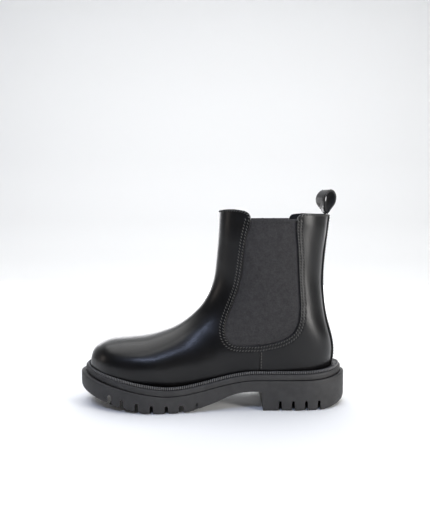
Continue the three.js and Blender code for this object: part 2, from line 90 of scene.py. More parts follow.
def knotted(knots, values, at, closed=False):
    """A smooth curve through values at knots, bending evenly from one to the next, read at the places at."""
    knots, values, at = (np.asarray(a, float) for a in (knots, values, at))
    flat = values.ndim == 1
    values = values.reshape(len(values), -1)
    if closed:
        period = knots[-1] - knots[0]
        knots = np.concatenate([knots[:-1] - period, knots[:-1], knots + period])
        values = np.concatenate([values[:-1], values[:-1], values])
    n = len(knots)
    h = np.diff(knots)
    system = np.eye(n)
    pull = np.zeros((n, values.shape[1]))
    for i in range(1, n - 1):
        system[i, i - 1:i + 2] = h[i - 1], 2 * (h[i - 1] + h[i]), h[i]
        pull[i] = 6 * ((values[i + 1] - values[i]) / h[i] - (values[i] - values[i - 1]) / h[i - 1])
    bend = np.linalg.solve(system, pull)
    k = np.clip(np.searchsorted(knots, at, side="right") - 1, 0, n - 2)
    a = ((knots[k + 1] - at) / h[k])[..., None]
    b = 1 - a
    step = h[k][..., None]
    out = a * values[k] + b * values[k + 1]
    out += ((a ** 3 - a) * bend[k] + (b ** 3 - b) * bend[k + 1]) * step ** 2 / 6
    return out[..., 0] if flat else out


def spread(line, count=None, gap=None):
    """The same line with points at equal distances along it."""
    line = np.asarray(line, float)
    run = np.concatenate([[0], np.cumsum(np.linalg.norm(np.diff(line, axis=0), axis=1))])
    count = count or max(2, round(run[-1] / gap) + 1)
    marks = np.linspace(0, run[-1], count)
    return np.stack([np.interp(marks, run, line[:, k]) for k in range(line.shape[1])], axis=1)


PLAN = [(-140, 6), (-137, -8), (-127.5, -23.5), (-110, -38), (-85, -48), (-58, -51), (-28, -47), (5, -41.5),
        (40, -38.8), (75, -38.6), (103, -37.3), (124, -29), (136, -15), (140, 0), (136, 15), (124, 29),
        (103, 36.8), (75, 36.8), (40, 35.5), (5, 37), (-28, 42), (-58, 48), (-85, 51), (-110, 45),
        (-127.5, 33), (-137, 20), (-140, 6)]
plan_points = np.array(PLAN, float) * (grade_x, grade_y)
ROUND = 720
plan_curve = knotted(np.arange(len(PLAN)), plan_points, np.linspace(0, len(PLAN) - 1, 4000), closed=True)
plan_loop = spread(plan_curve, ROUND + 1)[:-1]


def plan(grow):
    """The sole's outline seen from above, with grow mm added all round, as a number or one for each point."""
    along = np.roll(plan_loop, -1, axis=0) - np.roll(plan_loop, 1, axis=0)
    along /= np.linalg.norm(along, axis=1)[:, None]
    outward = np.stack([along[:, 1], -along[:, 0]], axis=1)
    return plan_loop + outward * np.reshape(grow, (-1, 1))


RIM, TOE_RIM, HEEL_RIM = 0.8, 4.2, 2.8


def rim(x):
    """How far the outsole stands out beyond the midsole."""
    return RIM + np.where(x < 0, TOE_RIM, HEEL_RIM) * np.minimum(1, np.abs(x / (140 * grade_x)) ** 2.5)


def stacked(levels):
    """Vertices and faces of a solid whose outline is given, level by level, from the bottom up."""
    count = len(levels[0][0])
    points = np.concatenate([np.column_stack([ring, np.broadcast_to(height, count)])
                             for ring, height in levels])
    faces = []
    for level in range(len(levels) - 1):
        a = level * count + np.arange(count)
        b = level * count + (np.arange(count) + 1) % count
        faces += np.stack([a, b, b + count, a + count], axis=1).tolist()
    top = (len(levels) - 1) * count
    for i in range(count // 2):
        a, b, c, d = i, i + 1, (count - i - 1) % count, (count - i) % count
        corners = [v for k, v in enumerate((a, d, c, b)) if v not in (a, d, c, b)[:k]]
        faces.append(corners)
        faces.append([top + v for v in reversed(corners)])
    return points, faces


def piece(name, points, faces, finish, body="boot"):
    """A smooth mesh object from points in mm, with its finish, riding on a body."""
    mesh = bpy.data.meshes.new(name)
    mesh.from_pydata((np.asarray(points, float) * MM).tolist(), [], faces)
    mesh.validate()
    made = bpy.data.objects.new(name, mesh)
    bpy.context.collection.objects.link(made)
    mesh.materials.append(finish)
    mesh.shade_smooth()
    if body:
        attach(made, body)
    return made


def sharpened(made, degrees=35):
    """Keeps edges crisp where faces meet at more than the angle."""
    made.data.set_sharp_from_angle(angle=math.radians(degrees))
    return made


class Flow:
    """A number or colour travelling through a finish. Sums and products of flows add the maths nodes."""

    def __init__(self, finish, socket):
        self.finish, self.socket = finish, socket

    def maths(self, operation, *values):
        return self.finish.node("ShaderNodeMath", {"operation": operation}, dict(enumerate(values)))

    def __add__(self, other):
        return self.maths("ADD", self, other)

    def __mul__(self, other):
        return self.maths("MULTIPLY", self, other)

    def __rsub__(self, other):
        return self.maths("SUBTRACT", other, self)

    __radd__ = __add__
    __rmul__ = __mul__

    def sine(self):
        return self.maths("SINE", self)

    def ramp(self, low, high):
        """0 below low, 1 above high."""
        return self.finish.node("ShaderNodeMapRange", {"clamp": True},
                                {"Value": self, "From Min": low, "From Max": high})


class Finish:
    """A material for one of the boot's finishes, made from nodes."""

    def __init__(self, name, **uniform):
        self.material = bpy.data.materials.new(name)
        self.material.use_nodes = True
        self.tree = self.material.node_tree
        self.shader = self.tree.nodes["Principled BSDF"]
        for socket, value in uniform.items():
            self.shader.inputs[socket.replace("_", " ")].default_value = value
        self.place = self.node("ShaderNodeTexCoord", out="Object")

    def node(self, kind, settings=None, sockets=None, out=0):
        """Any node: its type, its settings, then values or flows for its sockets, and the output wanted."""
        made = self.tree.nodes.new(kind)
        for key, value in (settings or {}).items():
            setattr(made, key, value)
        for key, value in (sockets or {}).items():
            if isinstance(value, Flow):
                self.tree.links.new(value.socket, made.inputs[key])
            else:
                made.inputs[key].default_value = value
        return Flow(self, made.outputs[out])

    def noise(self, size_mm, detail=2, roughness=0.5, stretch=(1, 1, 1)):
        """Cloudy variation, size_mm across, the same everywhere on the boot."""
        place = self.node("ShaderNodeVectorMath", {"operation": "MULTIPLY"}, {0: self.place, 1: stretch})
        return self.node("ShaderNodeTexNoise", None, {"Vector": place, "Scale": 1 / (size_mm * MM),
                                                      "Detail": detail, "Roughness": roughness})

    def cells(self, size_mm):
        """Small rounded cells, size_mm across."""
        return self.node("ShaderNodeTexVoronoi", {"feature": "F1"},
                         {"Vector": self.place, "Scale": 1 / (size_mm * MM), "Randomness": 1.0})

    def along(self, axis):
        """Distance along X, Y or Z, in mm."""
        return self.node("ShaderNodeSeparateXYZ", None, {0: self.place}, axis) * 1000

    def blend(self, mask, first, second):
        sockets = {0: mask, 6: first if isinstance(first, Flow) else (*first, 1),
                   7: second if isinstance(second, Flow) else (*second, 1)}
        return self.node("ShaderNodeMix", {"data_type": "RGBA"}, sockets, 2)

    def feed(self, socket, flow):
        self.tree.links.new(flow.socket, self.shader.inputs[socket])

    def relief(self, height, depth_mm):
        """Raises the surface where height is 1, by depth_mm."""
        sockets = {"Height": height, "Distance": depth_mm * MM, "Strength": 1.0}
        self.feed("Normal", self.node("ShaderNodeBump", None, sockets))


def cut_from(made, cutters):
    """Cuts closed solids, each a pair of points in mm and faces, out of a piece."""
    points, faces = [], []
    for cutter_points, cutter_faces in cutters:
        faces += [[v + len(points) for v in face] for face in cutter_faces]
        points += np.asarray(cutter_points, float).tolist()
    mesh = bpy.data.meshes.new("cutters")
    mesh.from_pydata((np.array(points) * MM).tolist(), [], faces)
    tool = bpy.data.objects.new("cutters", mesh)
    bpy.context.collection.objects.link(tool)
    cut = made.modifiers.new("cut", "BOOLEAN")
    cut.solver = "EXACT"
    cut.use_self = True
    cut.object = tool
    shown = bpy.context.evaluated_depsgraph_get()
    carved = bpy.data.meshes.new_from_object(made.evaluated_get(shown))
    made.modifiers.clear()
    made.data = carved
    bpy.data.objects.remove(tool)


def bar(profile, low, high, spot, turn=0.0):
    """A prism whose profile is seen from the side, across from low to high, turned and put at a spot."""
    count = len(profile)
    points = [(x, y, z) for y in (low, high) for x, z in profile]
    faces = [list(range(count)), list(range(2 * count - 1, count - 1, -1))]
    faces += [[i, i + count, (i + 1) % count + count, (i + 1) % count] for i in range(count)]
    c, s = math.cos(turn), math.sin(turn)
    return [(x * c - y * s + spot[0], x * s + y * c + spot[1], z + spot[2]) for x, y, z in points], faces


def slot_profile(width, depth, flare=1.5):
    """A lug slot's shape: flared where it meets the ground, straight-sided, with a round roof."""
    w = width / 2
    roof = [(w * math.cos(a), depth - w + w * math.sin(a)) for a in np.linspace(0, math.pi, 9)]
    return [(-w - flare * 1.6, -1.2), (w + flare * 1.6, -1.2), (w + flare, 0), (w + 0.3, 1.8), *roof,
            (-w - 0.3, 1.8), (-w - flare, 0)]


rubber = Finish("matt_rubber", Roughness=0.62, Specular_IOR_Level=0.42)
mottle = rubber.noise(9, detail=4)
rubber.feed("Base Color", rubber.blend(mottle.ramp(0.3, 0.7), (0.023, 0.0225, 0.0225), (0.034, 0.033, 0.033)))
rubber.feed("Roughness", 0.56 + 0.16 * rubber.noise(3.5, detail=5))
moulding = rubber.noise(0.45, detail=3, roughness=0.6) + 2.2 * rubber.noise(14, detail=2)
rubber.relief(moulding, 0.05)

x_of = plan_loop[:, 0]
overhang = rim(x_of)
GROUND_EDGE, LUG_HEIGHT = ((2.6, 0), (1.5, 0.35), (0.7, 1.1), (0.2, 2.6), (0, 4.6)), 4.6
TOP_EDGE = ((0, 3.2), (0, 1.8), (0.06, 0.8), (0.2, 0.2), (0.4, 0), (0.8, 0.05), (1, 0.55))
heel_roll = 5.5 * smooth(112 * grade_x, 138 * grade_x, x_of)
levels = []
for inward, rise in GROUND_EDGE:
    share = rise / LUG_HEIGHT
    levels.append((plan(-inward - heel_roll * (1 - share) ** 2),
                   tread_line(x_of) + rise + heel_roll * share ** 1.3))
for share, drop in TOP_EDGE:
    levels.append((plan(-share * overhang), groove_line(x_of) - drop))
levels.append((plan(-overhang - 1.6), groove_line(x_of) - 0.6))
outsole = piece("tread", *stacked(levels), rubber.material)

ARCH = [(-46, -1), (-38, 0.2), (-24, 1.5), (-16, 3.4), (-8, 6), (3, 9.8), (12, 13.6), (20, 16.8), (29, 19),
        (38, 20)]
arch_curve = knotted(np.arange(10), np.array(ARCH, float), np.linspace(0, 9, 50))
heel_breast = [(49.8, 20.1), (51.2, 19), (52.4, -3)]
waist_outline = [(x * grade_x, z) for x, z in ((-46, -3), *arch_curve, *heel_breast)]
cutters = [bar(waist_outline[::-1], -90, 90, (0, 0, 0))]
TOE_SLOT, SLOT_PITCH, SLOTS, SLOT_WIDTH, SLOT_DEPTH = -110.3, 15, 6, 2.9, 8.4
LAST_SLOT_WIDTH, SIDE_SLOT_TURN, TOE_SLOT_TURN = 4.9, 0.1, 0.16
x = TOE_SLOT * grade_x
cutters.append(bar(slot_profile(SLOT_WIDTH, SLOT_DEPTH), -80, 80, (x, 0, tread_line(x)), TOE_SLOT_TURN))
for i in range(1, SLOTS):
    x = (TOE_SLOT + i * SLOT_PITCH) * grade_x
    shape = slot_profile(LAST_SLOT_WIDTH if i == SLOTS - 1 else SLOT_WIDTH, SLOT_DEPTH)
    cutters.append(bar(shape, -60, -20, (x, 0, tread_line(x)), SIDE_SLOT_TURN))
    cutters.append(bar(shape, 20, 60, (x, 0, tread_line(x)), -SIDE_SLOT_TURN))
WAIST_SLOT, WAIST_SLOT_WIDTH, WAIST_SLOT_DEPTH = -15, 2.4, 6.2
x = WAIST_SLOT * grade_x
for side in (-1, 1):
    half = plan_loop[plan_loop[:, 1] * side > 0]
    edge = np.interp(x, *half[np.argsort(half[:, 0])].T)
    reach = sorted((edge - side * 1.6, edge + side * 9))
    cutters.append(bar(slot_profile(WAIST_SLOT_WIDTH, WAIST_SLOT_DEPTH), *reach, (x, 0, 4)))
HEEL_SLOT, HEEL_PITCH, HEEL_SLOTS, HEEL_SLOT_WIDTH, HEEL_SLOT_DEPTH = 69.5, 13.3, 4, 2.8, 10.4
for i in range(HEEL_SLOTS):
    x = (HEEL_SLOT + HEEL_PITCH * i) * grade_x
    cutters.append(bar(slot_profile(HEEL_SLOT_WIDTH, HEEL_SLOT_DEPTH), -60, -16, (x, 0, 0)))
    cutters.append(bar(slot_profile(HEEL_SLOT_WIDTH, HEEL_SLOT_DEPTH), 16, 60, (x, 0, 0)))
cut_from(outsole, cutters)
sharpened(outsole, 40)
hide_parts("outsole")

# ---- Heel core, cork filler and steel shank ---------------------------------------------------------------
# The hidden filling of the sole unit: a light foam block inside the heel, a cork layer that levels the
# forefoot, and a rolled steel strip that stiffens the waist. Fibre board makes the insole, the toe puff and
# the heel counter.


def dress(nodes, finish):
    """Gives the finish to pieces that keep their own shape."""
    for name in nodes:
        made = frame["nodes"][name]
        made.data.materials.clear()
        made.data.materials.append(finish.material)


foam = Finish("heel_foam", Roughness=0.9)
pores = foam.cells(1.1)
foam.feed("Base Color", foam.blend(pores.ramp(0.1, 0.6), (0.05, 0.05, 0.052), (0.10, 0.10, 0.105)))
foam.relief(pores, 0.3)
dress(["heel_core"], foam)

board = Finish("fibre_board", Roughness=0.85)
fibres = board.noise(2, detail=6, stretch=(0.4, 1, 1))
board.feed("Base Color", board.blend(fibres.ramp(0.35, 0.65), (0.26, 0.19, 0.12), (0.42, 0.33, 0.22)))
board.relief(fibres, 0.12)
dress(["forepart_filler", "insole_board", "toe_puff", "heel_counter"], board)

steel = Finish("shank_steel", Metallic=1.0)
rolled = steel.noise(1.5, detail=3, stretch=(0.08, 1, 1))
steel.feed("Base Color", steel.blend(rolled, (0.42, 0.43, 0.44), (0.62, 0.63, 0.64)))
steel.feed("Roughness", 0.28 + 0.25 * rolled)
dress(["shank"], steel)

# ---- Midsole ---------------------------------------------------------------------------------------------
# A smooth band of the same rubber between tread and welt. It is cemented to the outsole, set in behind its
# rim, and a thin shadow line is left between the two.

LOWER_EDGE = ((1.4, 0.25), (0.5, 0.3), (0.12, 0.55), (0, 1.0))
UPPER_EDGE = ((0, 2.6), (0.03, 1.5), (0.2, 0.8), (0.6, 0.22), (1.2, 0.03), (3, 0))
levels = []
for inward, rise in LOWER_EDGE:
    levels.append((plan(-overhang - inward), groove_line(x_of) + rise))
for inward, drop in UPPER_EDGE:
    levels.append((plan(-overhang - inward), sole_line(x_of) - drop))
midsole = sharpened(piece("rand", *stacked(levels), rubber.material), 50)
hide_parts("midsole")

# ---- Linings ----------------------------------------------------------------------------------------------
# Everything above the sole is shaped on one last. Its girths run from toe to collar, and each panel is a
# piece of that shape between four edges. The linings are brushed black textile, sewn in behind the leather.

GIRTHS = np.array([
    # front along, front up, back along, back up, middle, lateral, medial, front fullness, back fullness
    [-130.2, 2, -130.2, 2, 6.5, 0, 0, 0, 0.1],
    [-128.7, 10.4, -128.7, -7, 6.2, 11, 11, 0, 0.15],
    [-124.9, 20.4, -124.9, -12, 5.6, 20, 20, 0.03, 0.2],
    [-112.3, 31.3, -112.3, -14.5, 4, 33.5, 33.5, 0.06, 0.25],
    [-95, 38, -95, -15, 2.5, 41.5, 42, 0.06, 0.25],
    [-72, 44.4, -72, -15, 0.5, 45.8, 46, 0, 0.25],
    [-47, 54.3, -40, -16.6, -1.5, 43, 41.5, -0.05, 0.12],
    [-27, 64.6, -1, -24.4, -1.5, 37.8, 36, -0.08, 0],
    [-11.5, 76.8, 53, -29.4, -1, 34.8, 33.6, -0.08, 0],
    [-1.5, 91.2, 108, -21.7, -0.5, 35, 34.2, -0.05, 0.2],
    [3.3, 108.6, 127.6, 15, 0, 36, 35.5, 0, 0.3],
    [5, 127.2, 120.4, 52.2, 0, 36.5, 36.5, 0.05, 0.25],
    [6.2, 146.5, 115.9, 93.5, 0, 37.5, 37.5, 0.12, 0.2],
    [7, 161, 118.8, 133.2, 0, 38.3, 38.3, 0.12, 0.2],
    [7.9, 178, 123.8, 174, 0, 39, 39, 0.12, 0.2],
])
ANKLE, RISE, COLLAR = 70, 170.7, 202.75
_, vamp_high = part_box("vamp")
stretch = (vamp_high.z / MM - COLLAR + RISE - ANKLE) / (RISE - ANKLE)
STATIONS = np.linspace(0, 1, len(GIRTHS))
STEP = 2e-4


def from_side(disc):
    """Where a place on the last is seen from the side, as drafted: along and up. A place is a point of a disc,
    with the toe tip at its middle, the collar at its rim, the shin towards +x and the back seam towards -x."""
    t, angle = np.hypot(disc[..., 0], disc[..., 1]), np.arctan2(disc[..., 1], disc[..., 0])
    row = knotted(STATIONS, GIRTHS, t)
    share = (1 - np.cos(angle)) / 2
    along = row[..., 0] + (row[..., 2] - row[..., 0]) * share
    up = row[..., 1] + (row[..., 3] - row[..., 1]) * share
    return along, up, row, angle


def last_point(disc):
    """The point of the last at a place, in mm."""
    along, up, row, angle = from_side(disc)
    c, s = np.cos(angle), np.sin(angle)
    full = 1 + (row[..., 7] * (1 + c) + row[..., 8] * (1 - c)) / 2 * c * c
    y = row[..., 4] + np.where(s < 0, row[..., 5], row[..., 6]) * s * full
    x = along * grade_x
    z = sole_line(x) + np.where(up <= ANKLE, up, ANKLE + (up - ANKLE) * stretch)
    return np.stack([x, y * grade_y, z], axis=-1)


def facing(surface, disc):
    """Which way a surface over the disc faces."""
    right = surface(disc + (STEP, 0)) - surface(disc - (STEP, 0))
    over = surface(disc + (0, STEP)) - surface(disc - (0, STEP))
    normal = np.cross(right, over)
    return normal / np.maximum(np.linalg.norm(normal, axis=-1), 1e-12)[..., None]


def skin(disc, off):
    """Points off mm out from the last."""
    return last_point(disc) + facing(last_point, disc) * np.reshape(off, (-1, 1))


fan = np.linspace(0.3, 1, 1500)[:, None]
fan_front = np.stack(from_side(np.hstack([fan, 0 * fan]))[:2], axis=1)
fan_back = np.stack(from_side(np.hstack([-fan, 0 * fan]))[:2], axis=1)


def on_last(spots):
    """The places on the medial half that are seen at drafted spots from the side."""
    found = []
    line = fan_back - fan_front
    for spot in spots:
        aim = spot - fan_front
        off = line[:, 0] * aim[:, 1] - line[:, 1] * aim[:, 0]
        share = (line * aim).sum(1) / (line ** 2).sum(1)
        i = np.nonzero((off[:-1] * off[1:] <= 0) & (share[:-1] > -0.2) & (share[:-1] < 1.2))[0][-1]
        part = off[i] / (off[i] - off[i + 1])
        angle = math.acos(np.clip(1 - 2 * (share[i] + part * (share[i + 1] - share[i])), -1, 1))
        t = fan[i, 0] + part * (fan[i + 1, 0] - fan[i, 0])
        found.append((t * math.cos(angle), t * math.sin(angle)))
    return np.array(found)


def curve(spots, gap=0.8):
    spots = np.array(spots, float)
    run = np.concatenate([[0], np.cumsum(np.linalg.norm(np.diff(spots, axis=0), axis=1))])
    return spread(knotted(run, spots, np.linspace(0, run[-1], 40 * len(spots))), gap=gap)


def within(outline, x, y):
    """Whether points lie inside a closed outline."""
    inside = np.zeros(len(x), bool)
    for (ax, ay), (bx, by) in zip(outline, np.roll(outline, -1, axis=0)):
        crossing = (ay > y) != (by > y)
        inside ^= crossing & (x < (bx - ax) * (y - ay) / (by - ay if by != ay else 1) + ax)
    return inside


class Edge:
    """The drafted edge of a panel. Called with places, it gives their distance from it in mm, above 0 where
    they lie on the panel's side, which the far corners close round."""

    def __init__(self, line, far):
        self.line = np.asarray(line, float)
        self.outline = np.concatenate([self.line, far])
        medial = on_last(self.line)
        self.disc = {1: medial, -1: medial * (1, -1)}
        self.spots = np.concatenate([last_point(self.disc[side]) for side in (1, -1)])
        self.tree = KDTree(len(self.spots))
        for number, spot in enumerate(self.spots):
            self.tree.insert(spot, number)
        self.tree.balance()

    def __call__(self, disc):
        points = last_point(disc)
        near = np.array([self.tree.find(point)[1] for point in points])
        half = len(self.line)
        distance = np.full(len(points), 1e9)
        for step in (-1, 0):
            a = near + step
            a = np.clip(a, near // half * half, near // half * half + half - 2)
            start, run = self.spots[a], self.spots[a + 1] - self.spots[a]
            share = np.clip(((points - start) * run).sum(1) / (run ** 2).sum(1), 0, 1)
            distance = np.minimum(distance, np.linalg.norm(points - start - run * share[:, None], axis=1))
        return np.where(within(self.outline, *from_side(disc)[:2]), distance, -distance)


def above(low):
    """An edge along the bottom of the upper, low mm over the sole line."""
    return lambda disc: from_side(disc)[1] - low


def below(high):
    """An edge along the top, high mm over the sole line."""
    return lambda disc: high - from_side(disc)[1]


def split(disc, corners, value):
    """Cuts triangles along the line where value is 0."""
    positive = value[corners] > 0
    mixed = positive.any(1) & ~positive.all(1)
    cut, mark = corners[mixed], positive[mixed]
    lone = np.where(mark.sum(1) == 1, mark.argmax(1), (~mark).argmax(1))
    row = np.arange(len(cut))
    first, second, third = (cut[row, (lone + k) % 3] for k in range(3))
    pairs = np.sort(np.stack([np.tile(first, 2), np.concatenate([second, third])], axis=1), axis=1)
    unique, index = np.unique(pairs, axis=0, return_inverse=True)
    index = index.reshape(-1)
    a, b = value[unique[:, 0]], value[unique[:, 1]]
    share = (a / (a - b))[:, None]
    fresh = disc[unique[:, 0]] * (1 - share) + disc[unique[:, 1]] * share
    p, q = len(disc) + index[:len(cut)], len(disc) + index[len(cut):]
    corners = np.concatenate([corners[~mixed], np.stack([first, p, q], axis=1),
                              np.stack([p, second, third], axis=1), np.stack([p, third, q], axis=1)])
    return np.concatenate([disc, fresh]), corners


ROWS, COLUMNS = 200, 144
grid_t = np.concatenate([[0.004], np.linspace(0, 1, ROWS)[1:]])
grid_angle = np.linspace(-math.pi, math.pi, COLUMNS + 1)[:-1]
whole = (grid_t[:, None, None] * np.stack([np.cos(grid_angle), np.sin(grid_angle)], axis=1)).reshape(-1, 2)
number = np.arange(ROWS * COLUMNS).reshape(ROWS, COLUMNS)
a, b = number[:-1], number[1:]
c, d = np.roll(b, -1, axis=1), np.roll(a, -1, axis=1)
toe_tip = np.full(COLUMNS, ROWS * COLUMNS)
whole_corners = np.concatenate([np.stack([a, b, c], axis=-1).reshape(-1, 3),
                                np.stack([a, c, d], axis=-1).reshape(-1, 3),
                                np.stack([number[0], np.roll(number[0], -1), toe_tip], axis=1)])
whole = np.concatenate([whole, [(0.0, 0.0)]])


def panel(name, finish, outer, inner, edges, plain=(), side=0, rings=(0.1, 0.3, 0.6), rolled=0.6,
          raise_by=None):
    """A panel with real thickness, from inner to outer mm off the last. edges are rolled over and have rings
    of points beside them, plain ones are just cut. side is -1 or 1 for a panel of one half. raise_by takes
    places and their distances from the edges, and gives how far more the face stands out."""
    disc, corners = whole, whole_corners
    if side:
        plain = (lambda place: place[:, 1] * side * 100, *plain)
    for cut_at in plain:
        disc, corners = split(disc, corners, cut_at(disc))
        corners = corners[cut_at(disc[corners].mean(1)) > 0]
    for edge in edges:
        disc, corners = split(disc, corners, edge(disc))
        corners = corners[edge(disc[corners].mean(1)) > 0]
        for ring in rings:
            disc, corners = split(disc, corners, edge(disc) - ring)
    used, corners = np.unique(corners, return_inverse=True)
    disc, corners = disc[used], corners.reshape(-1, 3)

    def face(place):
        nearest = np.min([edge(place) for edge in edges], axis=0)
        dip = np.clip(rolled - np.clip(nearest, 0, None), 0, rolled)
        off = outer - rolled + np.sqrt(np.clip(rolled ** 2 - dip ** 2, 0, None))
        if raise_by:
            off = off + raise_by(place, nearest)
        return skin(place, off)

    front, back = face(disc), skin(disc, inner)
    count = len(disc)
    sides = np.concatenate([corners[:, [0, 1]], corners[:, [1, 2]], corners[:, [2, 0]]])
    key = np.sort(sides, axis=1)
    unique, index, times = np.unique(key, axis=0, return_inverse=True, return_counts=True)
    rimmed = sides[times[index.reshape(-1)] == 1]
    walls = np.stack([rimmed[:, 1], rimmed[:, 0], rimmed[:, 0] + count, rimmed[:, 1] + count], axis=1)
    faces = corners.tolist() + (corners[:, ::-1] + count).tolist() + walls.tolist()
    made = piece(name, np.concatenate([front, back]), faces, finish.material)
    if len(made.data.vertices) == 2 * count:
        ways = np.concatenate([facing(face, disc), -facing(last_point, disc)])
        made.data.normals_split_custom_set_from_vertices(ways.tolist())
    return made


LINING, MIDDLE, LEATHER = (-3.3, -4.3), (-1.9, -3.0), (0, -1.6)
SEAM_FOOT, SEAM_TOP = (48.4, 0), (49, 29.5)
GORE_FRONT = [(38.5, 156.3), (35, 142.1), (31, 115.5), (26.5, 89.1), (20, 72.2), (14, 57.3), (13.4, 44.4),
              (19, 34.6), (37, 29.5)]
GORE_REAR = [(55.5, 30.6), (73.5, 35.6), (84.5, 44.1), (88.8, 55.6), (88.8, 87.6), (86.8, 123.6),
             (84.9, 145.6), (85.3, 156.1)]
VAMP_TOP = [(-2, 171.6), (7.7, 170.8), (28.6, 166.8), (36.8, 162)]
QUARTER_TOP = [(87.6, 159.8), (92.7, 161.3), (123.7, 159.7), (128, 159.4)]
GORE_TOP = 153.5
seam = spread([SEAM_TOP, SEAM_FOOT, (48.4, -12)], gap=0.8)[1:]
front_line = curve(VAMP_TOP + GORE_FRONT + [SEAM_TOP])
rear_line = curve((GORE_REAR + QUARTER_TOP)[::-1])
rear_line = np.concatenate([rear_line, spread([rear_line[-1], SEAM_TOP], gap=0.8)[1:], seam])
vamp_edge = Edge(np.concatenate([front_line, seam]), [(48, -70), (-200, -70), (-200, 172)])
quarter_edge = Edge(rear_line, [(48, -70), (300, -70), (300, 159)])
gore_line = curve(GORE_FRONT + [SEAM_TOP] + GORE_REAR)
gore_edge = Edge(gore_line, [(85.3, 230), (38.5, 230)])
FEATHER = above(0.4)


def to_collar(place, nearest):
    """Linings swell at the collar to meet the leather that they are sewn to."""
    return 1.5 * np.exp(-(nearest / 4.5) ** 2)


textile = Finish("brushed_lining", Roughness=0.95)
nap = textile.noise(0.5, detail=5)
textile.feed("Base Color", textile.blend(nap.ramp(0.3, 0.7), (0.012, 0.012, 0.013), (0.035, 0.035, 0.037)))
textile.relief(nap, 0.15)
stiffener = Finish("stiffener", Roughness=0.9)
felt = stiffener.noise(0.8, detail=5)
stiffener.feed("Base Color", stiffener.blend(felt, (0.10, 0.09, 0.08), (0.20, 0.18, 0.16)))
stiffener.relief(felt, 0.1)
LINING_INSET, NEAR_COLLAR, TOE_PUFF_END = 0.25, 7, -91.7
COUNTER_TOP = ((68, 90, 104, 140), (18, 28, 48, 54))


def inset(edge, margin):
    """The same edge, margin mm further in."""
    return lambda place: edge(place) - margin


def behind_toe_puff(place):
    return from_side(place)[0] - TOE_PUFF_END


def over_counter(place):
    """How far a place is over the top edge of the heel counter."""
    along, up = from_side(place)[:2]
    return up - np.interp(along, *COUNTER_TOP) - 0.3


lining = panel("front_lining", textile, *LINING, [inset(vamp_edge, LINING_INSET)], (FEATHER,),
               raise_by=to_collar)
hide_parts("vamp_lining")
between = panel("front_interlining", stiffener, *MIDDLE, [inset(vamp_edge, NEAR_COLLAR)],
                (FEATHER, behind_toe_puff), rings=())
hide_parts("vamp_interlining")
for side, half in ((-1, "lateral"), (1, "medial")):
    lining = panel("heel_lining_" + half, textile, *LINING, [inset(quarter_edge, LINING_INSET)], (FEATHER,),
                   side, raise_by=to_collar)
    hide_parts("quarter_lining_" + half)
    between = panel("heel_interlining_" + half, stiffener, *MIDDLE, [inset(quarter_edge, NEAR_COLLAR)],
                    (FEATHER, over_counter), side, rings=())
    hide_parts("quarter_interlining_" + half)

# ---- Vamp and quarters ------------------------------------------------------------------------------------
# Smooth black box calf, 1.6 mm thick: one piece over the toe and up the shin, and a quarter on each side of
# the heel. Their edges are turned, and the thread pulls shallow furrows into them.

FURROWS, FURROW_DEPTH, FURROW_WIDTH = (1.5, 4.9), 0.16, 0.55


def furrowed(place, nearest):
    """Slow swells in the leather, less the furrows: round the gore, then along the collar above it."""
    along, up = from_side(place)[:2]
    swell = 0.28 * np.sin(along / 17 + up / 29) * np.sin(up / 21 - along / 40)
    swell += 0.1 * np.sin(along / 7.5 + up / 6)
    gap = -gore_edge(place)
    below_collar = np.clip((161 - up) / 4, 0, 1)
    pulled = sum(FURROW_DEPTH * np.exp(-((gap - row) / FURROW_WIDTH) ** 2) for row in FURROWS) * below_collar
    pulled += FURROW_DEPTH * np.exp(-((nearest - FURROWS[0]) / FURROW_WIDTH) ** 2) * (1 - below_collar)
    return swell * np.clip(nearest / 12, 0, 1) - pulled


RINGS = (0.1, 0.3, 0.6, 1.0, 1.5, 2.0, 4.3, 4.9, 5.5)
calf = Finish("box_calf", Coat_Roughness=0.2, Specular_IOR_Level=0.26)
hide = calf.noise(26, detail=4)
calf.feed("Base Color", calf.blend(hide.ramp(0.3, 0.7), (0.0022, 0.0022, 0.0028), (0.0045, 0.0042, 0.0042)))
calf.feed("Roughness", 0.25 + 0.14 * calf.noise(8, detail=5))
calf.feed("Coat Weight", 0.04 + 0.2 * calf.noise(30))
calf.relief(calf.cells(0.55) + 1.6 * calf.noise(2.4, detail=4) + 7 * calf.noise(13, detail=2), 0.028)

vamp = panel("toe_and_shin", calf, *LEATHER, [vamp_edge], (FEATHER,), rings=RINGS, raise_by=furrowed)
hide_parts("vamp")
for side, half in ((-1, "lateral"), (1, "medial")):
    quarter = panel("heel_quarter_" + half, calf, *LEATHER, [quarter_edge], (FEATHER,), side, RINGS,
                    raise_by=furrowed)
    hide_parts("quarter_" + half)

# ---- Gores ------------------------------------------------------------------------------------------------
# A panel of woven elastic in each side, which lets the boot be pulled on. It is lapped 7 mm behind the
# leather and sewn round with two rows, and a folded tape of the same weave binds its top edge.

